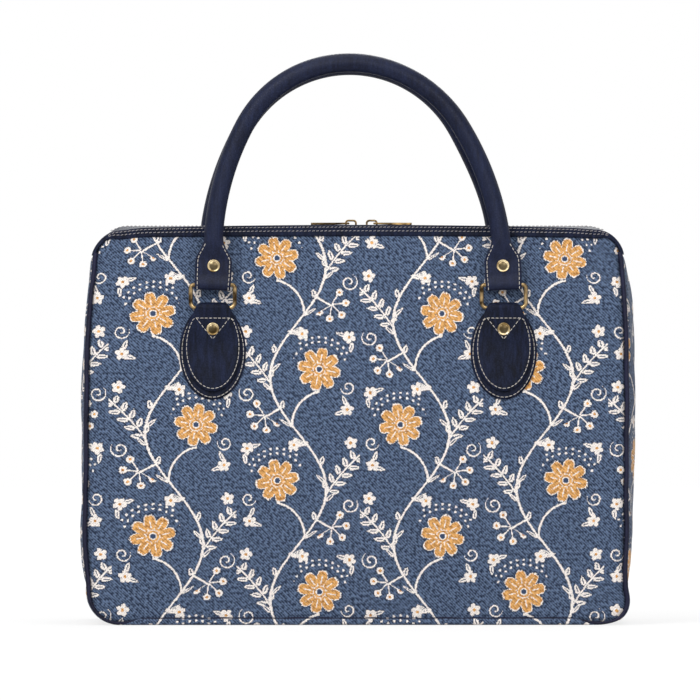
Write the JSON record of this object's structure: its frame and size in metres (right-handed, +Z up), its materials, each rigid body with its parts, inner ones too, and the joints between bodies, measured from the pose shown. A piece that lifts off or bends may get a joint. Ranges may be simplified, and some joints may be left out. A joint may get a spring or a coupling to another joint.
{
  "type": "carpet bag",
  "caption": "Structured tapestry travel bag with leather trim, a double-ended zip along the top and rolled handles on rings.",
  "frame": {"origin": "middle of the base, on the surface it stands on", "axes": "+X along the width to the right, front towards -Y, +Z up"},
  "size_m": [0.4006, 0.193, 0.4085],
  "materials": {
    "tapestry": "woven jacquard, trailing flowers on slate blue",
    "leather": "navy grained leather, semi-matt",
    "lining": "plain woven lining",
    "board": "stiff sheet",
    "zip_tape": "woven tape",
    "zip_teeth": "moulded",
    "hardware": "polished pale gold plate",
    "cord": "twisted filler cord"
  },
  "bodies": {
    "bag": {"back_left_patch": "leather", "back_left_strap_tab": "leather", "back_panel": "tapestry", "back_piping": "leather", "back_right_patch": "leather", "back_right_strap_tab": "leather", "back_top_strip": "leather", "back_zip_tape": "zip_tape", "back_zip_teeth": "zip_teeth", "base_board": "board", "base_panel": "tapestry", "front_left_patch": "leather", "front_left_strap_tab": "leather", "front_panel": "tapestry", "front_piping": "leather", "front_right_patch": "leather", "front_right_strap_tab": "leather", "front_top_strip": "leather", "front_zip_tape": "zip_tape", "front_zip_teeth": "zip_teeth", "left_gusset": "tapestry", "left_zip_end": "leather", "lining": "lining", "right_gusset": "tapestry", "right_zip_end": "leather", "tab_rivets": "hardware"},
    "front_left_ring": {"front_left_ring": "hardware"},
    "front_right_ring": {"front_right_ring": "hardware"},
    "back_left_ring": {"back_left_ring": "hardware"},
    "back_right_ring": {"back_right_ring": "hardware"},
    "front_handle": {"front_handle_cover": "leather", "front_handle_core": "cord", "front_handle_rivets": "hardware"},
    "back_handle": {"back_handle_cover": "leather", "back_handle_core": "cord", "back_handle_rivets": "hardware"},
    "left_slider": {"left_slider": "hardware"},
    "left_pull": {"left_pull": "hardware"},
    "right_slider": {"right_slider": "hardware"},
    "right_pull": {"right_pull": "hardware"}
  },
  "joints": [
    {"name": "front_left_ring_turn", "type": "hinge", "parent": "bag", "child": "front_left_ring", "pos_m": [-0.104, -0.07824, 0.2264], "axis": [1, 0, 0], "range_deg": [-3, 100]},
    {"name": "front_right_ring_turn", "type": "hinge", "parent": "bag", "child": "front_right_ring", "pos_m": [0.104, -0.07824, 0.2264], "axis": [1, 0, 0], "range_deg": [-3, 100]},
    {"name": "front_handle_swing", "type": "hinge", "parent": "front_left_ring", "child": "front_handle", "pos_m": [-0.104, -0.07824, 0.2429], "axis": [1, 0, 0], "range_deg": [-6, 75]},
    {"name": "back_left_ring_turn", "type": "hinge", "parent": "bag", "child": "back_left_ring", "pos_m": [-0.104, 0.07824, 0.2264], "axis": [-1, 0, 0], "range_deg": [-3, 100]},
    {"name": "back_right_ring_turn", "type": "hinge", "parent": "bag", "child": "back_right_ring", "pos_m": [0.104, 0.07824, 0.2264], "axis": [-1, 0, 0], "range_deg": [-3, 100]},
    {"name": "back_handle_swing", "type": "hinge", "parent": "back_left_ring", "child": "back_handle", "pos_m": [-0.104, 0.07824, 0.2429], "axis": [-1, 0, 0], "range_deg": [-6, 75]},
    {"name": "left_slider_run", "type": "slide", "parent": "bag", "child": "left_slider", "axis": [-1, 0, 0], "range_m": [0, 0.154]},
    {"name": "left_pull_lift", "type": "hinge", "parent": "left_slider", "child": "left_pull", "pos_m": [-0.00585, 0, 0.28705], "axis": [0, 1, 0], "range_deg": [0, 105]},
    {"name": "right_slider_run", "type": "slide", "parent": "bag", "child": "right_slider", "axis": [1, 0, 0], "range_m": [0, 0.147]},
    {"name": "right_pull_lift", "type": "hinge", "parent": "right_slider", "child": "right_pull", "pos_m": [0.01285, 0, 0.28705], "axis": [0, -1, 0], "range_deg": [0, 105]}
  ],
  "couplings": [
    {"joint": "front_right_ring_turn", "follows": "front_left_ring_turn", "ratio": 1},
    {"joint": "back_right_ring_turn", "follows": "back_left_ring_turn", "ratio": 1}
  ]
}
